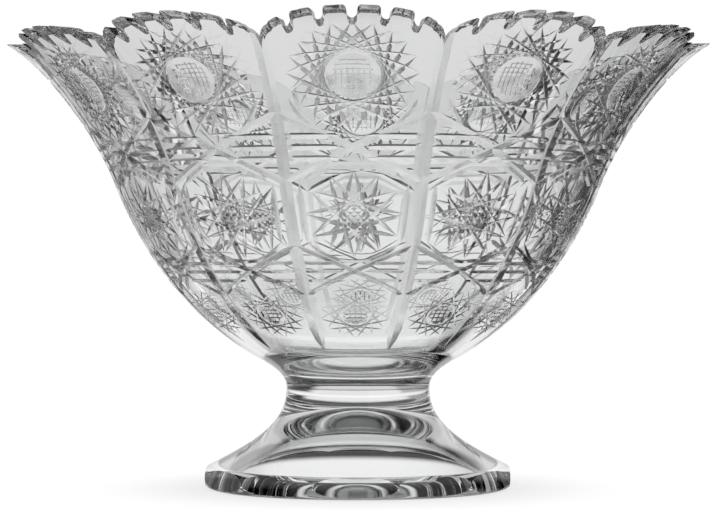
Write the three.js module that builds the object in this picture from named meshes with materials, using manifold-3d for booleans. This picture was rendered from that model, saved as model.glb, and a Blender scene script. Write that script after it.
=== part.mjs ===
// Footed bowl of hand-cut lead crystal: a flared bowl with a scalloped, toothed rim, bonded to a
// domed foot with a faceted edge. Millimetres, +Z up, origin at the centre of the resting face.
import * as THREE from 'three';
import { mergeVertices } from 'three/addons/utils/BufferGeometryUtils.js';
import Module from 'manifold-3d';

const wasm = await Module();
wasm.setup();

// Driving dimensions

const PANELS = 12; // cut panels round the bowl, and flat facets round the foot
const NECK_RADIUS = 31; // of the bowl's boss and of the foot's top, which meet here
const BOND_THICKNESS = 0.25; // clear adhesive between the two ground faces
const BOND_INSET = 0.5; // how far the wiped adhesive stays inside the neck

// Foot, heights from the resting face
const FOOT_HEIGHT = 43.4;
const FOOT_FLAT_TO_FLAT = 130.6;
const FOOT_EDGE_THICKNESS = 10.4; // of the rounded bead round the foot
const FOOT_DOME_SLOPE = 26.4; // degrees, where the dome runs into the bead
const RESTING_RING_WIDTH = 7;
const HOLLOW_HEIGHT = 32; // of the dome under the foot
const HOLLOW_CROWN_RADIUS = 16; // half-width of the hollow's rounded top

// Bowl wall, heights from the ground face of its boss; slopes in degrees above the horizontal
const FILLET_RADIUS = 46.3; // where the fillet over the neck turns into the belly
const FILLET_HEIGHT = 14.5;
const FILLET_SLOPE = 30;
const WAIST_RADIUS = 105.3; // where the belly turns into the flare
const WAIST_HEIGHT = 87.5;
const WAIST_SLOPE = 69;
const RIM_RADIUS = 152.5; // at the tip of a scallop
const RIM_HEIGHT = 148.5;
const RIM_SLOPE = 29.5;
const WALL_AT_RIM = 5.2;
const WALL_AT_FLOOR = 8.5;
const FLOOR_THICKNESS = 11; // from the ground face up to the lowest point inside

// Rim outline
const SCALLOP_RISE = 13.5; // from the notch between two panels up to a tip
const SCALLOP_SQUARENESS = 2.3; // exponent of the rounded arch; 2 is an ellipse
const TEETH = 6; // on each scallop
const NOTCH_DEPTH = 4.2; // between two teeth
const NOTCH_WIDTH = 4.4;

// Cut pattern of one panel. The upper row is placed down from the rim, the lower row up from the
// ground face. A cross is two mitres from border to border; a star cell lies between two crosses.
const MITRE_DEPTH = 1.3; // of every V cut
const MITRE_ANGLE = 100; // degrees across the V
const BORDER_START = 17; // the V cut between two panels starts at this height
const BORDER_RUN_OUT = 14; // and gains its full depth over this length
const BUTTON_BELOW_RIM = 24.3; // round hollow in the middle of the large star
const BUTTON_RADIUS = 10;
const BUTTON_DEPTH = 0.9;
const UPPER_CROSS_BELOW_RIM = 50.7; // to its middle
const UPPER_CROSS_HEIGHT = 26;
const LOWER_CROSS_HEIGHT_UP = 49.8; // to its middle
const LOWER_CROSS_HEIGHT = 20;
const SMALL_BUTTON_HEIGHT_UP = 32;
const SMALL_BUTTON_RADIUS = 6;
const SMALL_BUTTON_DEPTH = 0.6;

// Faceting
const LATHE_SIDES = 48;
const CURVE_STEPS = {
  fillet: 3, belly: 6, flare: 6, insideBelly: 3, insideFlare: 4, floor: 3,
  dome: 7, bead: 6, hollow: 5,
};
const TOOTH_STEPS = 1;
const END_TOOTH_STEPS = 2; // on the steeper tooth at each end of a scallop
const NOTCH_STEPS = 3;
const BORDER_STEPS = 8;
const CROSS_STEPS = 4;
const BUTTON_SIDES = 12;

const SECTOR = (2 * Math.PI) / PANELS;

// Small helpers for the meridian plane, where x is the radius and y the height

const point = (radius, height) => new THREE.Vector2(radius, height);

function heading(degrees) {
  const angle = THREE.MathUtils.degToRad(degrees);
  return point(Math.cos(angle), Math.sin(angle));
}

// A cubic that leaves one point and reaches the next along given directions.
function blend(from, leaving, to, arriving, pullFrom, pullTo) {
  return new THREE.CubicBezierCurve(
    from,
    from.clone().addScaledVector(leaving, pullFrom),
    to.clone().addScaledVector(arriving, -pullTo),
    to,
  );
}

// The reach of each control handle, as a share of the distance between its two points
const HANDLES = { fillet: [0.33, 0.38], belly: [0.33, 0.33], flare: [0.287, 0.261] };

function handled(name, from, leaving, to, arriving) {
  const span = from.distanceTo(to);
  const [first, last] = HANDLES[name];
  return blend(from, leaving, to, arriving, first * span, last * span);
}

// Bowl wall

const up = point(0, 1);
const inward = point(-1, 0);
const filletTop = point(FILLET_RADIUS, FILLET_HEIGHT);
const waist = point(WAIST_RADIUS, WAIST_HEIGHT);
const rim = point(RIM_RADIUS, RIM_HEIGHT);
const fillet = handled('fillet', point(NECK_RADIUS, 0), up, filletTop, heading(FILLET_SLOPE));
const belly = handled('belly', filletTop, heading(FILLET_SLOPE), waist, heading(WAIST_SLOPE));
const flare = handled('flare', waist, heading(WAIST_SLOPE), rim, heading(RIM_SLOPE));

// Position and outward normal on the outer wall; t is 0 to 1 up the belly and 1 to 2 up the
// flare, and carries on straight above 2.
function wallAt(t) {
  const curve = t < 1 ? belly : flare;
  const share = Math.min(t < 1 ? t : t - 1, 1);
  const tangent = curve.getTangent(share);
  const place = curve.getPoint(share);
  if (t > 2) place.addScaledVector(tangent, (t - 2) * flare.getLength());
  return { place, normal: point(tangent.y, -tangent.x) };
}

function insideAt(t) {
  const { place, normal } = wallAt(t);
  const wall = THREE.MathUtils.lerp(WALL_AT_FLOOR, WALL_AT_RIM, t / 2);
  return place.addScaledVector(normal, -wall);
}

const range = (first, last, steps) =>
  Array.from({ length: steps + 1 }, (_, i) => first + ((last - first) * i) / steps);

// From the axis out along the ground face, up the outer wall, and down inside to the axis.
function bowlOutline() {
  const steps = CURVE_STEPS;
  const above = 2 + (WALL_AT_RIM * 2) / flare.getLength(); // left over the rim, cut off later
  const climb = [...range(0, 1, steps.belly), ...range(1, 2, steps.flare).slice(1), above];
  const descent = [
    above, ...range(2, 1, steps.insideFlare), ...range(1, 0, steps.insideBelly).slice(1),
  ];
  const bottom = insideAt(0);
  const downhill = heading(FILLET_SLOPE + 180);
  const pull = bottom.x / 3;
  const floor = blend(bottom, downhill, point(0, FLOOR_THICKNESS), inward, pull, pull);
  return [
    point(0, 0),
    ...fillet.getPoints(steps.fillet).slice(0, -1),
    ...climb.map((t) => wallAt(t).place),
    ...descent.map(insideAt),
    ...floor.getPoints(steps.floor).slice(1),
  ];
}

// Solids

// A closed geometry as a solid, with shared corners merged and collapsed triangles left out.
function solid(geometry) {
  const bare = new THREE.BufferGeometry();
  bare.setAttribute('position', geometry.getAttribute('position').clone());
  bare.setIndex(geometry.getIndex());
  const merged = mergeVertices(bare, 1e-4);
  const corners = merged.getIndex().array;
  const triVerts = [];
  for (let i = 0; i < corners.length; i += 3) {
    const [a, b, c] = corners.subarray(i, i + 3);
    if (a !== b && b !== c && c !== a) triVerts.push(a, b, c);
  }
  return new wasm.Manifold(
    new wasm.Mesh({
      numProp: 3,
      vertProperties: merged.getAttribute('position').array,
      triVerts: new Uint32Array(triVerts),
    }),
  );
}

// A revolved outline about +Z.
function revolve(outline) {
  return solid(new THREE.LatheGeometry(outline, LATHE_SIDES).rotateX(Math.PI / 2));
}

function geometryOf(shape) {
  const { vertProperties, triVerts } = shape.getMesh();
  const geometry = new THREE.BufferGeometry();
  geometry.setAttribute('position', new THREE.BufferAttribute(vertProperties, 3));
  geometry.setIndex(new THREE.BufferAttribute(triVerts, 1));
  geometry.computeVertexNormals();
  return geometry;
}

// Rings of equally many points, joined into a tube with flat ends, or into a closed loop.
function tube(rings, closed = false) {
  const sides = rings[0].length;
  const positions = rings.flat().flatMap((p) => p.toArray());
  const index = [];
  const spans = closed ? rings.length : rings.length - 1;
  for (let i = 0; i < spans; i++) {
    const next = (i + 1) % rings.length;
    for (let j = 0; j < sides; j++) {
      const a = i * sides + j;
      const b = i * sides + ((j + 1) % sides);
      const c = next * sides + j;
      const d = next * sides + ((j + 1) % sides);
      index.push(a, c, b, b, c, d);
    }
  }
  if (!closed) {
    const last = (rings.length - 1) * sides;
    for (let j = 1; j < sides - 1; j++) {
      index.push(0, j, j + 1, last, last + j + 1, last + j);
    }
  }
  const geometry = new THREE.BufferGeometry();
  geometry.setAttribute('position', new THREE.Float32BufferAttribute(positions, 3));
  geometry.setIndex(index);
  return geometry;
}

// Rim: the scalloped outline is a height over the angle, cut straight across the wall.

const RIM_NOTCH_HEIGHT = RIM_HEIGHT - SCALLOP_RISE;

// Height of a smooth scallop; share runs from -1 to 1 across its panel.
function archHeight(share) {
  const fall = Math.abs(share) ** SCALLOP_SQUARENESS;
  return RIM_NOTCH_HEIGHT + SCALLOP_RISE * (1 - fall) ** (1 / SCALLOP_SQUARENESS);
}

// The toothed outline of one panel, as [share, height] from its left border on.
function scallopOutline() {
  const pitch = 2 / TEETH;
  const halfNotch = NOTCH_WIDTH / (RIM_RADIUS * SECTOR);
  const outline = [];
  for (let tooth = 0; tooth < TEETH; tooth++) {
    const from = -1 + tooth * pitch + (tooth ? halfNotch : 0);
    const to = -1 + (tooth + 1) * pitch - (tooth < TEETH - 1 ? halfNotch : 0);
    const steps = tooth === 0 || tooth === TEETH - 1 ? END_TOOTH_STEPS : TOOTH_STEPS;
    for (const share of range(from, to, steps)) outline.push([share, archHeight(share)]);
    if (tooth === TEETH - 1) continue;
    for (const turn of range(0, Math.PI, NOTCH_STEPS).slice(1, -1)) {
      const share = to + halfNotch * (1 - Math.cos(turn));
      outline.push([share, archHeight(share) - NOTCH_DEPTH * Math.sin(turn)]);
    }
  }
  return outline.slice(0, -1); // the right border is the next panel's left one
}

function rimCutter() {
  const inner = RIM_RADIUS / 2;
  const outer = RIM_RADIUS * 1.2;
  const top = RIM_HEIGHT + 4 * WALL_AT_RIM;
  const rings = [];
  for (let panel = 0; panel < PANELS; panel++) {
    for (const [share, height] of scallopOutline()) {
      const angle = (panel + share / 2) * SECTOR;
      const at = (radius, z) => new THREE.Vector3(radius * Math.cos(angle), radius * Math.sin(angle), z);
      rings.push([at(inner, height), at(outer, height), at(outer, top), at(inner, top)]);
    }
  }
  return solid(tube(rings, true));
}

// Cuts in the outer wall

// Place and outward normal in space, at an angle round the bowl and a height.
function onWall(angle, height) {
  let low = 0;
  let high = 2.5;
  while (high - low > 1e-6) {
    const middle = (low + high) / 2;
    if (wallAt(middle).place.y < height) low = middle;
    else high = middle;
  }
  const { place, normal } = wallAt(low);
  const turn = (v) => new THREE.Vector3(v.x * Math.cos(angle), v.x * Math.sin(angle), v.y);
  return { place: turn(place), normal: turn(normal), radius: place.x };
}

// A V cut along a row of [angle, height] stations, each with its own depth.
function mitre(stations, depths) {
  const lift = MITRE_DEPTH; // how far the cutter stands out of the wall
  const spread = Math.tan(THREE.MathUtils.degToRad(MITRE_ANGLE / 2));
  const spots = stations.map(([angle, height]) => onWall(angle, height));
  const rings = spots.map(({ place, normal }, i) => {
    const before = spots[Math.max(i - 1, 0)].place;
    const after = spots[Math.min(i + 1, spots.length - 1)].place;
    const across = after.clone().sub(before).normalize().cross(normal).normalize();
    const at = (out, aside) =>
      place.clone().addScaledVector(normal, out).addScaledVector(across, aside);
    const half = (lift + depths[i]) * spread;
    return [at(-depths[i], 0), at(lift, half), at(lift, -half)];
  });
  return solid(tube(rings));
}

// The border between two panels, from its run-out over the neck to beyond the rim.
function borderMitre(angle) {
  const heights = range(BORDER_START, RIM_HEIGHT + 2 * MITRE_DEPTH, BORDER_STEPS);
  const first = onWall(angle, BORDER_START).place;
  const depths = heights.map((height) => {
    const run = onWall(angle, height).place.distanceTo(first) / BORDER_RUN_OUT;
    return MITRE_DEPTH * Math.sin((Math.min(run, 1) * Math.PI) / 2) - 0.02 * (run === 0);
  });
  return mitre(heights.map((height) => [angle, height]), depths);
}

// One arm of a cross, from border to border; slant is 1 or -1.
function crossMitre(panel, middle, height, slant) {
  const stations = range(-0.5, 0.5, CROSS_STEPS).map((share) => [
    (panel + share) * SECTOR, middle + slant * share * height,
  ]);
  return mitre(stations, stations.map(() => MITRE_DEPTH));
}

// A shallow round hollow, ground square to the wall.
function button(panel, height, radius, depth) {
  const { place, normal } = onWall(panel * SECTOR, height);
  const bowlShape = (share) => point(radius * share, depth * (share * share - 1));
  const outline = [bowlShape(0), bowlShape(0.6), bowlShape(1.25)];
  outline.push(point(0, outline[2].y));
  const cutter = new THREE.LatheGeometry(outline, BUTTON_SIDES);
  const facing = new THREE.Quaternion().setFromUnitVectors(new THREE.Vector3(0, 1, 0), normal);
  return solid(cutter.applyQuaternion(facing).translate(...place));
}

function panelCuts(panel) {
  const upper = RIM_HEIGHT - UPPER_CROSS_BELOW_RIM;
  const lower = LOWER_CROSS_HEIGHT_UP;
  return [
    borderMitre((panel + 0.5) * SECTOR),
    button(panel, RIM_HEIGHT - BUTTON_BELOW_RIM, BUTTON_RADIUS, BUTTON_DEPTH),
    button(panel, SMALL_BUTTON_HEIGHT_UP, SMALL_BUTTON_RADIUS, SMALL_BUTTON_DEPTH),
    ...[1, -1].flatMap((slant) => [
      crossMitre(panel, upper, UPPER_CROSS_HEIGHT, slant),
      crossMitre(panel, lower, LOWER_CROSS_HEIGHT, slant),
    ]),
  ];
}

function bowl() {
  const panels = range(0, PANELS - 1, PANELS - 1);
  const cutters = [rimCutter(), ...panels.flatMap(panelCuts)];
  return cutters.reduce((body, cutter) => body.subtract(cutter), revolve(bowlOutline()));
}

// Foot: a revolved dome with a rounded bead, whose edge is ground to flat facets.

const FOOT_APOTHEM = FOOT_FLAT_TO_FLAT / 2;
const FOOT_CORNER_RADIUS = FOOT_APOTHEM / Math.cos(SECTOR / 2);

function footOutline() {
  const bead = FOOT_EDGE_THICKNESS / 2;
  const beadCentre = point(FOOT_CORNER_RADIUS - bead, bead);
  const beadStart = THREE.MathUtils.degToRad(90 - FOOT_DOME_SLOPE);
  const beadArc = new THREE.EllipseCurve(
    beadCentre.x, beadCentre.y, bead, bead, beadStart, -Math.PI / 2, true,
  );
  const domeTop = point(NECK_RADIUS, FOOT_HEIGHT);
  const domeEnd = beadArc.getPoint(0);
  const span = domeTop.distanceTo(domeEnd);
  const down = point(0, -1);
  const dome = blend(domeTop, down, domeEnd, heading(-FOOT_DOME_SLOPE), span * 0.3, span * 0.53);
  const mouth = point(beadCentre.x - RESTING_RING_WIDTH, 0);
  const crown = point(0, HOLLOW_HEIGHT);
  const lean = crown.clone().sub(mouth).normalize();
  const hollow = blend(mouth, lean, crown, inward, mouth.distanceTo(crown) / 3, HOLLOW_CROWN_RADIUS);
  return [
    crown,
    ...hollow.getPoints(CURVE_STEPS.hollow).reverse().slice(1),
    ...beadArc.getPoints(CURVE_STEPS.bead).reverse(),
    ...dome.getPoints(CURVE_STEPS.dome).reverse().slice(1),
    point(0, FOOT_HEIGHT),
  ];
}

function facetPrism() {
  const outline = new THREE.Shape(
    range(0, PANELS - 1, PANELS - 1).map((i) => {
      const corner = heading(((i + 0.5) * 360) / PANELS);
      return corner.multiplyScalar(FOOT_CORNER_RADIUS);
    }),
  );
  const depth = FOOT_HEIGHT + 2 * BOND_THICKNESS;
  const prism = new THREE.ExtrudeGeometry(outline, { depth, bevelEnabled: false });
  return solid(prism.translate(0, 0, -BOND_THICKNESS));
}

function foot() {
  return revolve(footOutline()).intersect(facetPrism());
}

function bondFilm() {
  const radius = NECK_RADIUS - BOND_INSET;
  const disc = new THREE.CylinderGeometry(radius, radius, BOND_THICKNESS, LATHE_SIDES);
  return solid(disc.rotateX(Math.PI / 2).translate(0, 0, BOND_THICKNESS / 2));
}

// Assembly

function piece(name, shape, height, material) {
  const mesh = new THREE.Mesh(geometryOf(shape), material);
  mesh.name = name;
  mesh.position.z = height;
  return mesh;
}

const crystal = new THREE.MeshStandardMaterial({
  color: 0xeef1f2, roughness: 0.04, metalness: 0, transparent: true, opacity: 0.35,
});
const adhesive = new THREE.MeshStandardMaterial({
  color: 0xf4f5f2, roughness: 0.12, metalness: 0, transparent: true, opacity: 0.4,
});

const footedBowl = new THREE.Group();
footedBowl.add(
  piece('foot', foot(), 0, crystal),
  piece('bond_film', bondFilm(), FOOT_HEIGHT, adhesive),
  piece('bowl', bowl(), FOOT_HEIGHT + BOND_THICKNESS, crystal),
);

export default footedBowl;
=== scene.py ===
import math

import bmesh
import bpy
import numpy as np
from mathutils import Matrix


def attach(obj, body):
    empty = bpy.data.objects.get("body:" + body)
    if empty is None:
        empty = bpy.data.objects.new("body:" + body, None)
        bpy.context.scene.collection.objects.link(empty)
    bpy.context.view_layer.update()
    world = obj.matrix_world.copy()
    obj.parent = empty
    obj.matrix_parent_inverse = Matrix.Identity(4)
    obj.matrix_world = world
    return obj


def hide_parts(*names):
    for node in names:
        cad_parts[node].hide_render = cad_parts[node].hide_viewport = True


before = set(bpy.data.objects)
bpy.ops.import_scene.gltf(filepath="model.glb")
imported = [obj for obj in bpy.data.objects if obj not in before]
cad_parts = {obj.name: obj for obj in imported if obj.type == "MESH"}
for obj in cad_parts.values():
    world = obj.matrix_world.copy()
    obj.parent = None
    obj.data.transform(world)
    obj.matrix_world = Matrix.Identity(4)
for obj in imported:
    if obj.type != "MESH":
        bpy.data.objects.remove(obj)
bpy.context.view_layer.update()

# Sizes in millimetres, as in the CAD. Bowl heights are above its ground face.
PANELS = 12
SECTOR = 2 * math.pi / PANELS
NECK_RADIUS = 31.0
BOND_THICKNESS = 0.25
FOOT_HEIGHT = 43.4
BOWL_BASE = FOOT_HEIGHT + BOND_THICKNESS
OPTICAL_LAP = 0.03  # how far the glass laps into the bond film, so that no air shows between
FILLET_TOP = np.array((46.3, 14.5))
FILLET_SLOPE = 30.0
WAIST = np.array((105.3, 87.5))
WAIST_SLOPE = 69.0
RIM = np.array((152.5, 148.5))
RIM_SLOPE = 29.5
WALL_AT_RIM = 5.2
BLANK_TOP = 2.14  # where the wall ends before the rim is cut, in the wall's own steps; the rim is at 2
BLANK_STEP = 78.0  # length of a whole step past the rim
WALL_AT_FLOOR = 8.5
FLOOR_THICKNESS = 11.0

# Rim outline
SCALLOP_RISE = 13.5
SCALLOP_SQUARENESS = 2.3
TEETH = 6
NOTCH_DEPTH = 4.2
NOTCH_WIDTH = 4.4
TOOTH_ROUNDING = 1.3
NOTCH_SQUARENESS = 2.6
RIM_LOW = RIM[1] - SCALLOP_RISE - NOTCH_DEPTH - 1
RIM_CUTTER = ((76, 190), 175)  # its radii and its top
RIM_OVERLAP = 1.1  # how far it reaches past the border, of the half panel

# V cuts: the depth of each, and half its width for each millimetre of depth
BORDER_CUT = (0.9, 3.2)
STAR_CUT = (0.9, 1.15)
ARC_CUT = (0.7, 1.6)
CROSS_CUT = (0.9, 1.7)
LEVEL_CUT = (1.2, 1.15)
ROOF_CUT = (0.6, 2.6)
UPRIGHT_CUT = (0.5, 2.4)
CELL_STAR_CUT = (0.8, 1.2)
HATCH_CUT = (1.05, 1.0)
ARCH_CUT = (0.7, 1.3)
LOW_CROSS_CUT = (0.8, 1.5)
LOW_LEVEL_CUT = (0.6, 1.6)
SMALL_STAR_CUT = (0.22, 2.6)
LINE_CUT = (0.2, 1.6)
# Lengths over which a cut rises out of the wall at its start and at its end
BORDER_RUN_OUT = (16.0, 0.0)
STAR_RUN_OUT = (3.0, 3.0)
ARC_RUN_OUT = (5.0, 5.0)
LEVEL_RUN_OUT = (5.0, 3.0)
CELL_RUN_OUT = (2.0, 5.0)
UPRIGHT_RUN_OUT = (3.0, 3.0)
FINE_RUN_OUT = (1.0, 1.0)
RUN_OUT_LIFT = 0.03  # how far off the wall it ends

# A cut that lies this far or more on the other half of the panel is left to its mirror image
STAR_OVERLAP = 1.5
HATCH_OVERLAP = 0.5
STAR_STEP = 8.0  # between the points of a cut
SMALL_STAR_STEP = 5.0
HATCH_STEP = 4.0
# Where the cuts lie, from the rim down
BORDER_SPAN = (17, 152)
STAR_HEIGHT = 124.2
CELL_HEIGHT = 71.5
SMALL_STAR_HEIGHT = 32.0
# Stars: height of the middle, radius, points, and how many points on each cut ends
STAR = (STAR_HEIGHT, 26.0, 20, 7)
CELL_STAR = (CELL_HEIGHT, 20.0, 12, 5)
SMALL_STAR = (SMALL_STAR_HEIGHT, 15.0, 14, 5)
# Round buttons: the height of each one's middle, its radius and its depth
STAR_BUTTON = (STAR_HEIGHT, 10.4, 1.5)
SMALL_BUTTON = (SMALL_STAR_HEIGHT, 6.0, 0.7)
BUTTON_SIDES = 30
BUTTON_RINGS = (0.04, 0.4, 0.72, 1.0, 1.12)  # shares of the radius
BUTTON_CAP = (0.5, 3.0)  # the cutter's top: its share of the radius, and its height off the wall
# Fine upright and level lines on the buttons, and the arc below the large star
LINE_PITCH = 2.2
LINE_REACH = 0.84  # of the button's radius
LINE_LIFT = 0.1  # how far off the wall the top of their cutters is
ARC_RADIUS = 27.5
ARC_DEGREES = (-58, -24)
# Crosses: the height of the middle, and the rise over a whole panel
CROSS = (97.8, 26.0)
LOW_CROSS = (49.8, 20.0)
CROSS_REACH = 0.56  # of a panel, to each side
LEVEL_HEIGHTS = (102.2, 97.9, 93.6)
LOW_LEVEL_HEIGHTS = (53.0, 49.6, 46.0)
LEVEL_SPAN = (0.16, 0.95)  # of the half panel
# The cell's roof and its foot, drawn about its middle, and its uprights beside the border
ROOF = ((-8.5, 21.0), (0, 21.2), (8.5, 21.0), (12.5, 18.8), (16.5, 16.4), (20.5, 13.5))
ARCH = ((-6, -20.3), (0, -20.8), (6, -20.3), (11, -18.2), (15, -15.6), (19.5, -12.0))
UPRIGHT_SPAN = (60, 85)
UPRIGHT_INSET = 5.5  # from the border
HATCH = (CELL_HEIGHT, 6.6, 2.2)  # height of the middle, radius and pitch
HATCH_LIFT = 0.6

# Foot
FOOT_APOTHEM = 65.3
FOOT_EDGE_THICKNESS = 10.4
FOOT_DOME_SLOPE = 26.4
RESTING_RING_WIDTH = 7.0
HOLLOW_HEIGHT = 32.0
HOLLOW_CROWN_RADIUS = 16.0
FACET_BLOCK = ((FOOT_APOTHEM, 90), (-30, 40), (-5, 50))  # what a facet is cut off with

# How far each curve keeps to the directions of its ends, as shares of its span
FILLET_PULL = (0.33, 0.38)
BELLY_PULL = (0.33, 0.33)
FLARE_PULL = (0.287, 0.261)
DOME_PULL = (0.53, 0.3)

# Meshes
SEAM_REACH = 2e-4  # how near a vertex lies to a seam that it is put on
WELD_DECIMALS = 4
SHARP_DEGREES = 7  # between faces, from which their edge stays sharp
REVOLVED_DEGREES = 14  # how far a face on the revolved surface may lean from it
REVOLVED_MISS = 0.2  # and how far its corners may lie off it
RIM_LEAN = 0.03  # how far a face of the rim's edge may look outward or inward
SOME_ROWS = 2000  # worked on at a time
# Rows of each stretch of a profile, and columns of half a sector; the dense rows give exact normals
BOWL_ROWS = (8, 14, 16, 20, 8)
BOWL_DENSE_ROWS = (300, 900, 900, 1500, 400)
BOWL_COLUMNS = 4
FOOT_ROWS = (22, 16, 20)
FOOT_DENSE_ROWS = (700, 400, 700)
FOOT_COLUMNS = 8

MM = 0.001


# Meridian curves: rows of (radius, height)

def heading(degrees):
    angle = math.radians(degrees)
    return np.array((math.cos(angle), math.sin(angle)))


def blend(start, leaving, end, arriving, pull_start, pull_end, shares):
    """Points on a cubic that leaves and reaches its ends along given directions."""
    first = start + leaving * pull_start
    last = end - arriving * pull_end
    t = np.asarray(shares)[:, None]
    s = 1 - t
    return s ** 3 * start + 3 * s * s * t * first + 3 * s * t * t * last + t ** 3 * end


def pulled(start, leaving, end, arriving, pull, shares):
    """The same, with both pulls as shares of the distance between the ends."""
    span = np.linalg.norm(end - start)
    return blend(start, leaving, end, arriving, pull[0] * span, pull[1] * span, shares)


def fillet_points(shares):
    neck = np.array((NECK_RADIUS, 0.0))
    up = np.array((0.0, 1.0))
    return pulled(neck, up, FILLET_TOP, heading(FILLET_SLOPE), FILLET_PULL, shares)


def wall_points(t):
    """Outer wall: t runs 0 to 1 up the belly, 1 to 2 up the flare, and straight on above 2."""
    t = np.asarray(t, dtype=float)
    low, high = heading(FILLET_SLOPE), heading(WAIST_SLOPE)
    tip = heading(RIM_SLOPE)
    belly = pulled(FILLET_TOP, low, WAIST, high, BELLY_PULL, np.clip(t, 0, 1))
    flare = pulled(WAIST, high, RIM, tip, FLARE_PULL, np.clip(t - 1, 0, 1))
    beyond = np.maximum(t - 2, 0)[:, None] * BLANK_STEP * tip
    return np.where((t < 1)[:, None], belly, flare + beyond)


def wall_normals(t):
    step = 1e-4
    t = np.asarray(t, dtype=float)
    ahead = wall_points(t + step) - wall_points(np.maximum(t - step, 0))
    ahead /= np.linalg.norm(ahead, axis=1)[:, None]
    return np.stack((ahead[:, 1], -ahead[:, 0]), axis=1)


def inside_points(t):
    thickness = WALL_AT_FLOOR + (WALL_AT_RIM - WALL_AT_FLOOR) * np.asarray(t) / 2
    return wall_points(t) - wall_normals(t) * thickness[:, None]


def floor_points(shares):
    start = inside_points([0.0])[0]
    end = np.array((0.0, FLOOR_THICKNESS))
    pull = start[0] / 3
    return blend(start, heading(FILLET_SLOPE + 180), end, np.array((-1.0, 0.0)), pull, pull, shares)


def bowl_profile(fillet, belly, flare, inside, floor):
    """From the axis along the ground face, up outside, and down inside to the axis."""
    steps = np.linspace
    outside = np.concatenate((steps(0, 1, belly + 1), steps(1, 2, flare + 1)[1:], [BLANK_TOP]))
    back = np.concatenate(([BLANK_TOP], steps(2, 0, inside + 1)))
    return np.concatenate((
        [(0.0, 0.0)],
        fillet_points(steps(0, 1, fillet + 1))[:-1],
        wall_points(outside),
        inside_points(back),
        floor_points(steps(0, 1, floor + 1))[1:],
    ))


def foot_profile(hollow, bead, dome):
    """From the hollow's crown out to the resting ring, round the bead and up the dome."""
    steps = np.linspace
    radius = FOOT_EDGE_THICKNESS / 2
    corner = FOOT_APOTHEM / math.cos(SECTOR / 2)
    centre = np.array((corner - radius, radius))
    mouth = np.array((centre[0] - RESTING_RING_WIDTH, 0.0))
    crown = np.array((0.0, HOLLOW_HEIGHT))
    lean = (crown - mouth) / np.linalg.norm(crown - mouth)
    under = blend(mouth, lean, crown, np.array((-1.0, 0.0)), np.linalg.norm(crown - mouth) / 3,
                  HOLLOW_CROWN_RADIUS, steps(0, 1, hollow + 1))[::-1]
    turn = steps(-math.pi / 2, math.radians(90 - FOOT_DOME_SLOPE), bead + 1)
    edge = centre + radius * np.stack((np.cos(turn), np.sin(turn)), axis=1)
    top = np.array((NECK_RADIUS, FOOT_HEIGHT))
    rise = pulled(edge[-1], -heading(-FOOT_DOME_SLOPE), top, np.array((0.0, 1.0)), DOME_PULL,
                  steps(0, 1, dome + 1))
    return np.concatenate((under, edge, rise[1:], [(0.0, FOOT_HEIGHT)]))


# The outer wall as radius over height, with its slope
MEETING_STEPS = 12  # enough for a drawn place to settle on the wall
DENSE_T = np.linspace(0, 2.3, 2400)
DENSE_WALL = np.concatenate((fillet_points(np.linspace(0, 1, 300))[:-1], wall_points(DENSE_T)))
DENSE_SLOPE = np.gradient(DENSE_WALL[:, 0], DENSE_WALL[:, 1])


def wall_radius(height):
    return np.interp(height, DENSE_WALL[:, 1], DENSE_WALL[:, 0])


def wall_slope(height):
    return np.interp(height, DENSE_WALL[:, 1], DENSE_SLOPE)


def normals_at(places):
    around = np.hypot(places[:, 0], places[:, 1])
    out = np.stack((places[:, 0] / around, places[:, 1] / around, -wall_slope(places[:, 2])), axis=1)
    return out / np.linalg.norm(out, axis=1)[:, None]


def on_wall(angles, heights):
    """Places on the outer wall; the panel worked on is centred at angle 0."""
    angles, heights = np.broadcast_arrays(np.asarray(angles, float), np.asarray(heights, float))
    radius = wall_radius(heights)
    return np.stack((radius * np.cos(angles), radius * np.sin(angles), heights), axis=1)


def drawn_on_wall(centre_height, across, along):
    """Places where a flat drawing, held square to the wall at a height, meets it."""
    radius = float(wall_radius(centre_height))
    slope = float(wall_slope(centre_height))
    along_dir = np.array((slope, 0.0, 1.0)) / math.hypot(slope, 1)
    out = np.array((1.0, 0.0, -slope)) / math.hypot(slope, 1)
    places = np.array((radius, 0.0, centre_height)) + np.outer(along, along_dir)
    places[:, 1] += across
    for _ in range(MEETING_STEPS):
        around = np.hypot(places[:, 0], places[:, 1])
        miss = around - wall_radius(places[:, 2])
        rate = places[:, 0] / around * out[0] - wall_slope(places[:, 2]) * out[2]
        places = places - np.outer(miss / rate, out)
    return places


# Cutters: closed meshes as (vertices, faces)

def tube(rings):
    """Rings of equally many points, joined side by side, with flat ends."""
    rings = np.asarray(rings)
    count, sides = rings.shape[:2]
    faces = []
    for i in range(count - 1):
        a, b = i * sides, (i + 1) * sides
        for j in range(sides):
            k = (j + 1) % sides
            faces.append((a + j, b + j, b + k, a + k))
    faces.append(tuple(range(sides)))
    faces.append(tuple(range((count - 1) * sides, count * sides))[::-1])
    return rings.reshape(-1, 3), faces


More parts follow.
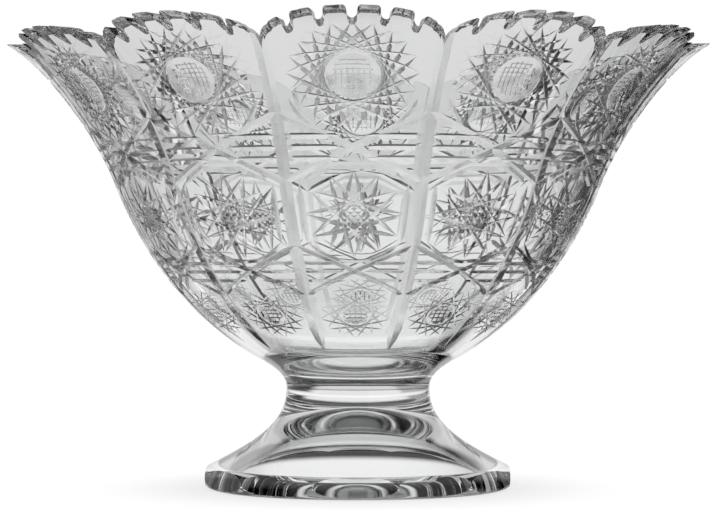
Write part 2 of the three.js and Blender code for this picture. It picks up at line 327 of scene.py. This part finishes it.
def mitre(places, cut, run_out=(0.0, 0.0), lift=1.0):
    """A V cut along the wall. run_out is the length over which each end rises out of it."""
    depth, spread = cut
    normals = normals_at(places)
    ahead = np.gradient(places, axis=0)
    side = np.cross(ahead, normals)
    side /= np.linalg.norm(side, axis=1)[:, None]
    hop = np.linalg.norm(np.diff(places, axis=0), axis=1)
    gone = np.concatenate(([0.0], np.cumsum(hop)))
    depths = np.full(len(places), depth)
    for run, distance in ((run_out[0], gone), (run_out[1], gone[-1] - gone)):
        if run:
            share = np.clip(distance / run, 0, 1)
            depths = np.minimum(depths, (depth + RUN_OUT_LIFT) * np.sin(share * math.pi / 2)
                                - RUN_OUT_LIFT)
    half = (depths + lift) * spread
    low = places - normals * depths[:, None]
    high = places + normals * lift
    rings = np.stack((low, high - side * half[:, None], high + side * half[:, None]), axis=1)
    return tube(rings)


def line(start, end, step):
    count = max(3, int(np.linalg.norm(np.subtract(end, start)) / step) + 2)
    return np.linspace(start, end, count)


def dish(height, radius, depth):
    """A shallow round hollow that follows the wall, ground in at the panel's middle."""
    turn = np.linspace(0, 2 * math.pi, BUTTON_SIDES, endpoint=False)
    rings = []
    for share in BUTTON_RINGS:
        places = drawn_on_wall(height, radius * share * np.cos(turn), radius * share * np.sin(turn))
        rings.append(places + normals_at(places) * depth * (share * share - 1))
    share, lift = BUTTON_CAP
    top = drawn_on_wall(height, radius * share * np.cos(turn), radius * share * np.sin(turn))
    rings.append(top + normals_at(top) * lift)
    return tube(rings)


def button_line_cutters(height, radius, depth):
    """Fine crossed lines in a button, that follow its hollow."""
    cuts = []
    reach = radius * LINE_REACH
    count = int(reach / LINE_PITCH)
    for off in LINE_PITCH * np.arange(-count, count + 1):
        half = math.sqrt(reach ** 2 - off ** 2)
        along = np.concatenate(([-half], np.linspace(1 - half, half - 1, 4), [half]))
        level = np.full(len(along), off)
        pairs = [(along, level)]
        if off > -LINE_PITCH / 2:
            pairs.append((level, along))
        for across, up in pairs:
            hollow = depth * (1 - (across ** 2 + up ** 2) / radius ** 2)
            places = drawn_on_wall(height, across, up)
            cut = (hollow + LINE_CUT[0], LINE_CUT[1])
            cuts.append(mitre(places, cut, FINE_RUN_OUT, LINE_LIFT))
    return cuts


def rim_cutter():
    """All above the toothed outline of half a panel and a little beyond."""
    half_width = RIM[0] * SECTOR / 2
    # even steps over the scallop, then closer ones towards the border
    shares = [np.linspace(-0.1, 0.9, 21), 1 - np.linspace(0, 0.316, 14) ** 2]
    notches = np.arange(TEETH // 2, TEETH) * 2 / TEETH - 1
    bite = NOTCH_WIDTH / 2 / half_width
    shoulder = TOOTH_ROUNDING / half_width
    for notch in notches:
        shares.append(notch + bite * np.sin(np.linspace(-math.pi / 2, math.pi / 2, 11)))
        for side in (-1, 1):
            turned = 1 - np.sin(np.linspace(0, math.pi / 2, 5))
            shares.append(notch + side * (bite + shoulder * turned))
    shares = np.unique(np.round(np.concatenate(shares), 5))
    fall = np.minimum(np.abs(shares), 1) ** SCALLOP_SQUARENESS
    heights = RIM[1] - SCALLOP_RISE * (1 - (1 - fall) ** (1 / SCALLOP_SQUARENESS))
    for notch in notches:
        off = np.abs(shares - notch)
        inside = np.sqrt(1 - np.minimum(off / bite, 1) ** NOTCH_SQUARENESS)
        rounded = np.sqrt(1 - (1 - np.clip((off - bite) / shoulder, 0, 1)) ** 2)
        heights = heights - (NOTCH_DEPTH - TOOTH_ROUNDING) * inside - TOOTH_ROUNDING * (1 - rounded)
    shares = np.append(shares, RIM_OVERLAP)
    heights = np.append(heights, heights[-1])
    (near, far), top = RIM_CUTTER
    rings = []
    for share, height in zip(shares, heights):
        angle = share * SECTOR / 2
        corners = ((near, height), (far, height), (far, top), (near, top))
        rings.append([(r * math.cos(angle), r * math.sin(angle), z) for r, z in corners])
    return tube(np.array(rings)[::-1])


def star_cutters(height, radius, points, skip, cut, step):
    """The chords of a star with that many points, each a V cut that rises out at its ends."""
    cuts = []
    for i in range(points):
        a = math.pi / 2 + 2 * math.pi * i / points
        b = a + 2 * math.pi * skip / points
        ends = [(radius * math.cos(x), radius * math.sin(x)) for x in (a, b)]
        path = line(*ends, step)
        if path[:, 0].max() < -STAR_OVERLAP:
            continue
        cuts.append(mitre(drawn_on_wall(height, path[:, 0], path[:, 1]), cut, STAR_RUN_OUT))
    return cuts


def hatch_cutters(height, radius, pitch):
    """Fine crossed lines inside a circle."""
    cuts = []
    for turn in (math.pi / 4, -math.pi / 4):
        along = np.array((math.cos(turn), math.sin(turn)))
        across = np.array((-along[1], along[0]))
        for off in np.arange(-radius + pitch / 2, radius, pitch):
            reach = math.sqrt(radius ** 2 - off ** 2)
            if reach < pitch:
                continue
            path = line(across * off - along * reach, across * off + along * reach, HATCH_STEP)
            if path[:, 0].max() < -HATCH_OVERLAP:
                continue
            places = drawn_on_wall(height, path[:, 0], path[:, 1])
            cuts.append(mitre(places, HATCH_CUT, FINE_RUN_OUT, HATCH_LIFT))
    return cuts


def cross_cutters(middle, rise, cut):
    cuts = []
    for slant in (1, -1):
        shares = np.linspace(-CROSS_REACH, CROSS_REACH, 15)
        cuts.append(mitre(on_wall(shares * SECTOR, middle + slant * shares * rise), cut))
    return cuts


def level_cutters(heights, cut):
    """Level lines beside a cross."""
    cuts = []
    for height in heights:
        shares = np.linspace(*LEVEL_SPAN, 9)
        cuts.append(mitre(on_wall(shares * SECTOR / 2, np.full(9, height)), cut, LEVEL_RUN_OUT))
    return cuts


def drawn_cutter(height, points, cut, run_out):
    """A V cut along a row of flat points drawn about the panel's middle at a height."""
    points = np.asarray(points, dtype=float)
    return mitre(drawn_on_wall(height, points[:, 0], points[:, 1]), cut, run_out)


def panel_cutters():
    """Every cut that touches the half panel between angle 0 and its border."""
    cuts = [rim_cutter()]
    border = np.linspace(*BORDER_SPAN, 22)
    cuts.append(mitre(on_wall(np.full(22, SECTOR / 2), border), BORDER_CUT, BORDER_RUN_OUT))
    # large star and the arc below it
    cuts += star_cutters(*STAR, STAR_CUT, STAR_STEP)
    cuts.append(dish(*STAR_BUTTON))
    cuts += button_line_cutters(*STAR_BUTTON)
    turn = np.radians(np.linspace(*ARC_DEGREES, 8))
    arc = ARC_RADIUS * np.stack((np.cos(turn), np.sin(turn)), axis=1)
    cuts.append(drawn_cutter(STAR_HEIGHT, arc, ARC_CUT, ARC_RUN_OUT))
    # upper cross, its level lines, and the roof and uprights of the star cell
    cuts += cross_cutters(*CROSS, CROSS_CUT)
    cuts += level_cutters(LEVEL_HEIGHTS, LEVEL_CUT)
    cuts.append(drawn_cutter(CELL_HEIGHT, ROOF, ROOF_CUT, CELL_RUN_OUT))
    upright = np.linspace(*UPRIGHT_SPAN, 6)
    beside = SECTOR / 2 - UPRIGHT_INSET / wall_radius(upright)
    cuts.append(mitre(on_wall(beside, upright), UPRIGHT_CUT, UPRIGHT_RUN_OUT))
    # cell star
    cuts += star_cutters(*CELL_STAR, CELL_STAR_CUT, STAR_STEP)
    cuts += hatch_cutters(*HATCH)
    # foot of the cell, lower cross and its level lines
    cuts.append(drawn_cutter(CELL_HEIGHT, ARCH, ARCH_CUT, CELL_RUN_OUT))
    cuts += cross_cutters(*LOW_CROSS, LOW_CROSS_CUT)
    cuts += level_cutters(LOW_LEVEL_HEIGHTS, LOW_LEVEL_CUT)
    # small star
    cuts += star_cutters(*SMALL_STAR, SMALL_STAR_CUT, SMALL_STAR_STEP)
    cuts.append(dish(*SMALL_BUTTON))
    cuts += button_line_cutters(*SMALL_BUTTON)
    return cuts


# Wedges: half a sector of a revolved solid, cut, then mirrored and turned all round

def mesh_object(name, vertices, faces):
    mesh = bpy.data.meshes.new(name)
    mesh.from_pydata([tuple(v) for v in vertices], [], faces)
    solid = bmesh.new()
    solid.from_mesh(mesh)
    bmesh.ops.recalc_face_normals(solid, faces=solid.faces)
    bmesh.ops.triangulate(solid, faces=solid.faces)
    solid.to_mesh(mesh)
    solid.free()
    obj = bpy.data.objects.new(name, mesh)
    bpy.context.scene.collection.objects.link(obj)
    return obj


def wedge(profile, columns):
    """The solid between angle 0 and half a sector; the profile starts and ends on the axis."""
    ring = profile[1:-1]
    count = len(ring)
    vertices = [(0.0, 0.0, profile[0][1]), (0.0, 0.0, profile[-1][1])]
    for angle in np.linspace(0, SECTOR / 2, columns + 1):
        vertices += [(r * math.cos(angle), r * math.sin(angle), z) for r, z in ring]
    faces = []
    for j in range(columns):
        a, b = 2 + j * count, 2 + (j + 1) * count
        faces.append((0, b, a))
        faces.append((1, a + count - 1, b + count - 1))
        faces += [(a + i, b + i, b + i + 1, a + i + 1) for i in range(count - 1)]
    last = 2 + columns * count
    faces.append([0] + list(range(2, 2 + count)) + [1])
    faces.append(([0] + list(range(last, last + count)) + [1])[::-1])
    return vertices, faces


def cut_wedge(profile, columns, cutters):
    """Vertices and triangles of a wedge with every cutter taken out."""
    base = mesh_object("wedge", *wedge(profile, columns))
    made = [base]
    for vertices, faces in cutters:
        cutter = mesh_object("cutter", vertices, faces)
        made.append(cutter)
        cut = base.modifiers.new("cut", "BOOLEAN")
        cut.operation = "DIFFERENCE"
        cut.solver = "MANIFOLD"
        cut.object = cutter
    graph = bpy.context.evaluated_depsgraph_get()
    mesh = bpy.data.meshes.new_from_object(base.evaluated_get(graph))
    mesh.calc_loop_triangles()
    vertices = np.empty(len(mesh.vertices) * 3)
    mesh.vertices.foreach_get("co", vertices)
    triangles = np.empty(len(mesh.loop_triangles) * 3, dtype=np.int64)
    mesh.loop_triangles.foreach_get("vertices", triangles)
    bpy.data.meshes.remove(mesh)
    for obj in made:
        bpy.data.meshes.remove(obj.data)
    return vertices.reshape(-1, 3), triangles.reshape(-1, 3)


def whole_round(vertices, triangles):
    """A half sector without its two cut faces, mirrored and turned into the whole, welded."""
    half = SECTOR / 2
    edge = np.array((-math.sin(half), math.cos(half)))
    flat = np.abs(vertices[:, 1]) < SEAM_REACH
    vertices[flat, 1] = 0.0
    off = vertices[:, :2] @ edge
    border = np.abs(off) < SEAM_REACH
    vertices[border, :2] -= np.outer(off[border], edge)
    sides = flat[triangles].all(axis=1) | border[triangles].all(axis=1)
    triangles = triangles[~sides]
    mirrored = vertices * (1, -1, 1)
    all_vertices, all_triangles = [], []
    for sector in range(PANELS):
        c, s = math.cos(sector * SECTOR), math.sin(sector * SECTOR)
        turn = np.array(((c, -s, 0), (s, c, 0), (0, 0, 1)))
        for part, corners in ((vertices, triangles), (mirrored, triangles[:, ::-1])):
            all_triangles.append(corners + sum(len(v) for v in all_vertices))
            all_vertices.append(part @ turn.T)
    stacked = np.concatenate(all_vertices)
    corners = np.concatenate(all_triangles)
    rounded = np.round(stacked, WELD_DECIMALS)
    _, first, place = np.unique(rounded, axis=0, return_index=True, return_inverse=True)
    corners = place.reshape(-1)[corners]
    distinct = (corners != np.roll(corners, 1, axis=1)).all(axis=1)
    return stacked[first], corners[distinct]


def profile_normals(profile):
    """The middle and the outward normal of each stretch between a profile's points."""
    span = np.diff(profile, axis=0)
    ahead = span / np.linalg.norm(span, axis=1)[:, None]
    out = np.stack((ahead[:, 1], -ahead[:, 0]), axis=1)
    middle = (profile[1:] + profile[:-1]) / 2
    return middle, out


def mark_faces(mesh, name, chosen):
    mark = mesh.attributes.new(name, "FLOAT", "FACE")
    mark.data.foreach_set("value", chosen.astype(np.float32))


def revolved_piece(name, profile, dense, columns, cutters, base_height):
    """The whole piece, with exact normals where its surface is the revolved one.

    Its faces are marked as cut, as rim, or as neither, for the materials.
    """
    vertices, triangles = whole_round(*cut_wedge(profile, columns, cutters))
    mesh = bpy.data.meshes.new(name)
    raised = (vertices + (0, 0, base_height)) * MM
    mesh.from_pydata(raised.tolist(), [], triangles.tolist())
    mesh.polygons.foreach_set("use_smooth", np.ones(len(triangles), dtype=bool))
    mesh.set_sharp_from_angle(angle=math.radians(SHARP_DEGREES))
    mesh.update()
    loops = np.empty(len(mesh.loops) * 3, dtype=np.float32)
    mesh.corner_normals.foreach_get("vector", loops)
    loops = loops.reshape(-1, 3, 3)

    around = np.hypot(vertices[:, 0], vertices[:, 1])
    flat = np.stack((around, vertices[:, 2]), axis=1)
    keys, place = np.unique(np.round(flat, 3), axis=0, return_inverse=True)
    middle, out = profile_normals(dense)
    nearest = np.empty(len(keys), dtype=np.int64)
    miss = np.empty(len(keys))
    for start in range(0, len(keys), SOME_ROWS):
        rows = slice(start, start + SOME_ROWS)
        gap = ((keys[rows, None, :] - middle[None]) ** 2).sum(axis=2)
        close = gap.argmin(axis=1)
        nearest[rows] = close
        miss[rows] = np.abs(((keys[rows] - middle[close]) * out[close]).sum(axis=1))
    place = place.reshape(-1)
    own = out[nearest][place]
    safe = np.maximum(around, 1e-9)
    exact = np.stack((own[:, 0] * vertices[:, 0] / safe, own[:, 0] * vertices[:, 1] / safe,
                      own[:, 1]), axis=1)
    corners = vertices[triangles]
    face = np.cross(corners[:, 1] - corners[:, 0], corners[:, 2] - corners[:, 0])
    face /= np.maximum(np.linalg.norm(face, axis=1), 1e-12)[:, None]
    lean = np.einsum("tcx,tx->tc", exact[triangles], face).min(axis=1)
    agree = lean > math.cos(math.radians(REVOLVED_DEGREES))
    revolved = agree & (miss[place][triangles].max(axis=1) < REVOLVED_MISS)
    loops[revolved] = exact[triangles[revolved]]
    mesh.normals_split_custom_set(loops.reshape(-1, 3).tolist())
    middles = corners.mean(axis=1)
    outward = middles[:, :2] / np.maximum(np.hypot(middles[:, 0], middles[:, 1]), 1e-9)[:, None]
    rim = (np.abs((face[:, :2] * outward).sum(axis=1)) < RIM_LEAN) & (middles[:, 2] > RIM_LOW)
    mark_faces(mesh, "cut", ~revolved & ~rim)
    mark_faces(mesh, "rim", rim)
    obj = bpy.data.objects.new(name, mesh)
    bpy.context.scene.collection.objects.link(obj)
    return obj


# Pieces

bowl_rows = bowl_profile(*BOWL_ROWS)
bowl_rows[0:2, 1] = -OPTICAL_LAP
bowl = revolved_piece("bowl_cut_crystal", bowl_rows, bowl_profile(*BOWL_DENSE_ROWS), BOWL_COLUMNS,
                      panel_cutters(), BOWL_BASE)
foot_rows = foot_profile(*FOOT_ROWS)
foot_rows[-2:, 1] += OPTICAL_LAP
facet = ([(x, y, z) for x in FACET_BLOCK[0] for y in FACET_BLOCK[1] for z in FACET_BLOCK[2]],
         [(0, 1, 3, 2), (4, 6, 7, 5), (0, 4, 5, 1), (2, 3, 7, 6), (0, 2, 6, 4), (1, 5, 7, 3)])
foot = revolved_piece("foot_polished", foot_rows, foot_profile(*FOOT_DENSE_ROWS), FOOT_COLUMNS,
                      [facet], 0.0)
for piece, node, slot in ((bowl, "bowl", "bowl_crystal"), (foot, "foot", "foot_crystal")):
    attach(piece, "root")
    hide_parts(node)


# Materials

CUT_ROUGHNESS = 0.17  # of the wheel-cut faces; the wall between them is fire-polished
POLISH_ROUGHNESS = 0.012
FILM_ROUGHNESS = 0.02
WEAR_ROUGHNESS = 0.3  # of the resting ring, scratched by standing
WEAR_HEIGHT = 0.0008  # m
GRAIN_SCALE = 160.0
GRAIN_SPAN = (0.6, 1.4)  # the least and the most of the roughness that the grain lets through
GLASS_COLOUR = (0.985, 0.99, 0.99, 1)
GLASS_INDEX = 1.55
PAPER_COLOUR = (0.9, 0.9, 0.9, 1)
PAPER_ROUGHNESS = 0.9
RIM_WAVES = 350.0  # hand-polished unevenness of the rim: how close, and how high in metres
RIM_WAVE_HEIGHT = 0.00004


def math_node(tree, operation, *given):
    """A Math node's output; each input is a number or another output."""
    node = tree.nodes.new("ShaderNodeMath")
    node.operation = operation
    for socket, value in zip(node.inputs, given):
        if isinstance(value, (int, float)):
            socket.default_value = value
        else:
            tree.links.new(value, socket)
    return node.outputs[0]


def smooth_step(tree, value, low, high, start=0.0, end=1.0):
    node = tree.nodes.new("ShaderNodeMapRange")
    node.interpolation_type = "SMOOTHSTEP"
    tree.links.new(value, node.inputs["Value"])
    for name, number in (("From Min", low), ("From Max", high), ("To Min", start), ("To Max", end)):
        node.inputs[name].default_value = number
    return node.outputs["Result"]


def face_mark(tree, name):
    node = tree.nodes.new("ShaderNodeAttribute")
    node.attribute_name = name
    return node.outputs["Fac"]


def noise(tree, place, scale):
    node = tree.nodes.new("ShaderNodeTexNoise")
    node.inputs["Scale"].default_value = scale
    tree.links.new(place, node.inputs["Vector"])
    return node.outputs["Fac"]


def rim_relief(tree, place):
    """A normal with the waves of the rim."""
    waves = math_node(tree, "MULTIPLY", noise(tree, place, RIM_WAVES), RIM_WAVE_HEIGHT)
    bump = tree.nodes.new("ShaderNodeBump")
    bump.inputs["Distance"].default_value = 1.0
    tree.links.new(math_node(tree, "MULTIPLY", waves, face_mark(tree, "rim")), bump.inputs["Height"])
    return bump.outputs["Normal"]


def crystal(name, polish, cut, worn=0.0):
    """Clear glass, unevenly duller on its cut faces and where it stands on the table."""
    material = bpy.data.materials.new(name)
    material.use_nodes = True
    tree = material.node_tree
    shader = tree.nodes["Principled BSDF"]
    shader.inputs["Base Color"].default_value = GLASS_COLOUR
    shader.inputs["Transmission Weight"].default_value = 1.0
    shader.inputs["IOR"].default_value = GLASS_INDEX
    place = tree.nodes.new("ShaderNodeTexCoord").outputs["Object"]
    uneven = math_node(tree, "MULTIPLY_ADD", noise(tree, place, GRAIN_SCALE),
                       GRAIN_SPAN[1] - GRAIN_SPAN[0], GRAIN_SPAN[0])
    dull = math_node(tree, "MULTIPLY_ADD", face_mark(tree, "cut"), cut, polish)
    if worn:
        axes = tree.nodes.new("ShaderNodeSeparateXYZ")
        tree.links.new(place, axes.inputs[0])
        wear = smooth_step(tree, axes.outputs["Z"], 0.0, WEAR_HEIGHT, worn, 0.0)
        dull = math_node(tree, "ADD", dull, wear)
    if cut:
        tree.links.new(rim_relief(tree, place), shader.inputs["Normal"])
    tree.links.new(math_node(tree, "MULTIPLY", dull, uneven), shader.inputs["Roughness"])
    return material


bowl.data.materials.append(crystal("bowl_crystal", POLISH_ROUGHNESS, CUT_ROUGHNESS))
foot.data.materials.append(crystal("foot_crystal", POLISH_ROUGHNESS, 0.0, WEAR_ROUGHNESS))
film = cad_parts["bond_film"]
film.data.materials.clear()
film.data.materials.append(crystal("clear_adhesive", FILM_ROUGHNESS, 0.0))


# Stage

FLOOR_REACH = 60.0  # m
SHADOW_REACH = (0.06, 0.12)  # m from the axis, where the floor turns plain white
SHADOW_SHARE = 0.3  # of the floor's own shading that shows beside the foot
SHEET_REACH = (0.16, 0.35)  # m from the axis, where the glass sees the white sheet end
SHEET_BEYOND = 0.05  # brightness of the floor past it
FOOT_EDGE = (0.056, 0.07)  # m from the axis, between the sheet under the foot and that round it
HOLLOW_SHADE_REACH = (0.0, 0.03)  # m along Y, over which painted shade darkens the sheet under the foot, towards the back
# brightness of the painted shade under the foot, at its darkest
HOLLOW_SHADE_LEVEL = 0.08
CONTACT_SHADOW_REACH = (0.1, 0.14)  # m from the axis, where the painted contact shadow round the foot fades and the sheet grows light again
FRONT_EDGE = (-0.3, -0.16)  # m along Y, where the sheet ends in front of the foot
# White screens round the object: the way each lies, in degrees to the left of straight behind it,
# half its width, and its brightness
SCREENS = ((0, 27, 0.85), (56, 60, 0.48), (-135, 27, 0.6))
SCREEN_BLUR = 6.0  # degrees to each side of its edge
SCREEN_RISE = (0.45, 0.6)  # sine of the elevation at which the screens end
ROOM_LEVEL = 0.02  # brightness of the room between and above them
BOUNCES = 12  # few enough to leave the foot's edges dark
GLOSSY_BOUNCES = 5


def screens(tree, x, y):
    """How bright the screens are in the direction x, y."""
    around = math_node(tree, "ARCTAN2", math_node(tree, "MULTIPLY", x, -1.0), y)
    level = None
    for middle, half, bright in SCREENS:
        off = math_node(tree, "COSINE", math_node(tree, "SUBTRACT", around, math.radians(middle)))
        far = math.cos(math.radians(half + SCREEN_BLUR))
        close = math.cos(math.radians(half - SCREEN_BLUR))
        one = smooth_step(tree, off, far, close, ROOM_LEVEL, bright)
        level = one if level is None else math_node(tree, "MAXIMUM", level, one)
    return level


def glass_ray(tree, path):
    """1 for a ray that comes off or through the glass, and 0 for any other."""
    return math_node(tree, "MAXIMUM", path.outputs["Is Glossy Ray"],
                     path.outputs["Is Transmission Ray"])


def mixed(tree, share, first, second):
    node = tree.nodes.new("ShaderNodeMixShader")
    tree.links.new(share, node.inputs[0])
    tree.links.new(first, node.inputs[1])
    tree.links.new(second, node.inputs[2])
    return node.outputs[0]


def paper_floor():
    """White to the camera, with a soft shadow; a sheet for what the glass shows, with dark parts,
    among them painted shade under the foot and a painted contact shadow round it.
    """
    mesh = bpy.data.meshes.new("floor")
    reach = FLOOR_REACH
    corners = [(-reach, -reach, 0), (reach, -reach, 0), (reach, reach, 0), (-reach, reach, 0)]
    mesh.from_pydata(corners, [], [(0, 1, 2, 3)])
    floor = bpy.data.objects.new("floor", mesh)
    bpy.context.scene.collection.objects.link(floor)
    material = bpy.data.materials.new("white_paper")
    material.use_nodes = True
    tree = material.node_tree
    shader = tree.nodes["Principled BSDF"]
    shader.inputs["Base Color"].default_value = PAPER_COLOUR
    shader.inputs["Roughness"].default_value = PAPER_ROUGHNESS
    shader.inputs["Specular IOR Level"].default_value = 0.0
    white = tree.nodes.new("ShaderNodeEmission")
    path = tree.nodes.new("ShaderNodeLightPath")
    place = tree.nodes.new("ShaderNodeTexCoord")
    length = tree.nodes.new("ShaderNodeVectorMath")
    length.operation = "LENGTH"
    tree.links.new(place.outputs["Object"], length.inputs[0])
    distance = length.outputs["Value"]
    axes = tree.nodes.new("ShaderNodeSeparateXYZ")
    tree.links.new(place.outputs["Object"], axes.inputs[0])
    outside = smooth_step(tree, distance, *FOOT_EDGE)
    sweep = math_node(tree, "MULTIPLY", outside, screens(tree, axes.outputs["X"], axes.outputs["Y"]))
    # painted shade on the sheet under the foot, darker towards the back
    inside = smooth_step(tree, axes.outputs["Y"], *HOLLOW_SHADE_REACH, 1.0, HOLLOW_SHADE_LEVEL)
    front = smooth_step(tree, axes.outputs["Y"], *FRONT_EDGE, SHEET_BEYOND, 1.0)
    # the sheet round the foot, with a painted contact shadow next to the foot, and ending in front
    round_foot_past_painted_shadow = math_node(tree, "MULTIPLY", front, smooth_step(tree, distance, *CONTACT_SHADOW_REACH))
    reach = smooth_step(tree, distance, *SHEET_REACH, 1.0, SHEET_BEYOND)
    under = math_node(tree, "MULTIPLY", inside, math_node(tree, "SUBTRACT", 1.0, outside))
    near = math_node(tree, "MULTIPLY", reach, math_node(tree, "MAXIMUM", under, round_foot_past_painted_shadow))
    sheet = math_node(tree, "MAXIMUM", near, sweep)
    camera_ray = path.outputs["Is Camera Ray"]
    tree.links.new(math_node(tree, "MAXIMUM", sheet, camera_ray), white.inputs["Strength"])
    far = smooth_step(tree, distance, *SHADOW_REACH, 1 - SHADOW_SHARE, 1.0)
    share = math_node(tree, "MULTIPLY_ADD", far, camera_ray, glass_ray(tree, path))
    output = tree.nodes["Material Output"]
    tree.links.new(mixed(tree, share, shader.outputs[0], white.outputs[0]), output.inputs["Surface"])
    mesh.materials.append(material)


def studio_room():
    """White to the camera and to the floor; screens and dark gaps for what the glass shows."""
    world = bpy.data.worlds.new("studio")
    bpy.context.scene.world = world
    world.use_nodes = True
    tree = world.node_tree
    tree.nodes.clear()
    output = tree.nodes.new("ShaderNodeOutputWorld")
    plain = tree.nodes.new("ShaderNodeBackground")
    plain.inputs["Color"].default_value = (1, 1, 1, 1)
    room = tree.nodes.new("ShaderNodeBackground")
    path = tree.nodes.new("ShaderNodeLightPath")
    both = mixed(tree, glass_ray(tree, path), plain.outputs[0], room.outputs[0])
    tree.links.new(both, output.inputs["Surface"])
    place = tree.nodes.new("ShaderNodeTexCoord")
    axes = tree.nodes.new("ShaderNodeSeparateXYZ")
    tree.links.new(place.outputs["Generated"], axes.inputs[0])
    rise = smooth_step(tree, axes.outputs["Z"], *SCREEN_RISE, 1.0, 0.0)
    bright = math_node(tree, "MULTIPLY", screens(tree, axes.outputs["X"], axes.outputs["Y"]), rise)
    tree.links.new(math_node(tree, "MAXIMUM", bright, ROOM_LEVEL), room.inputs["Strength"])


paper_floor()
studio_room()

# Camera: level with the bowl's lower part, in front of a panel
IMAGE_WIDTH = 714
IMAGE_HEIGHT = 509
SENSOR_WIDTH = 36
PIXEL = 0.000435  # m, at the axis
DISTANCE = 1.037
HORIZON_ROW = 286.0
AXIS_COLUMN = 358.0
BASE_ROW = 487.1
VIEW_TURN = math.radians(0.9)  # a panel's middle lies a little left of the axis
camera_data = bpy.data.cameras.new("camera")
camera = bpy.data.objects.new("camera", camera_data)
bpy.context.scene.collection.objects.link(camera)
camera_data.lens = SENSOR_WIDTH * DISTANCE / PIXEL / IMAGE_WIDTH
camera_data.clip_end = 200
camera.location = (DISTANCE * math.sin(VIEW_TURN), -DISTANCE * math.cos(VIEW_TURN),
                   (BASE_ROW - HORIZON_ROW) * PIXEL)
pitch = math.atan((HORIZON_ROW - IMAGE_HEIGHT / 2) * PIXEL / DISTANCE)
turn = math.atan((AXIS_COLUMN - IMAGE_WIDTH / 2) * PIXEL / DISTANCE)
camera.rotation_euler = (math.pi / 2 + pitch, 0, turn + VIEW_TURN)
bpy.context.scene.camera = camera

scene = bpy.context.scene
scene.view_settings.view_transform = "Standard"
scene.cycles.max_bounces = BOUNCES
scene.cycles.transmission_bounces = BOUNCES
scene.cycles.glossy_bounces = GLOSSY_BOUNCES
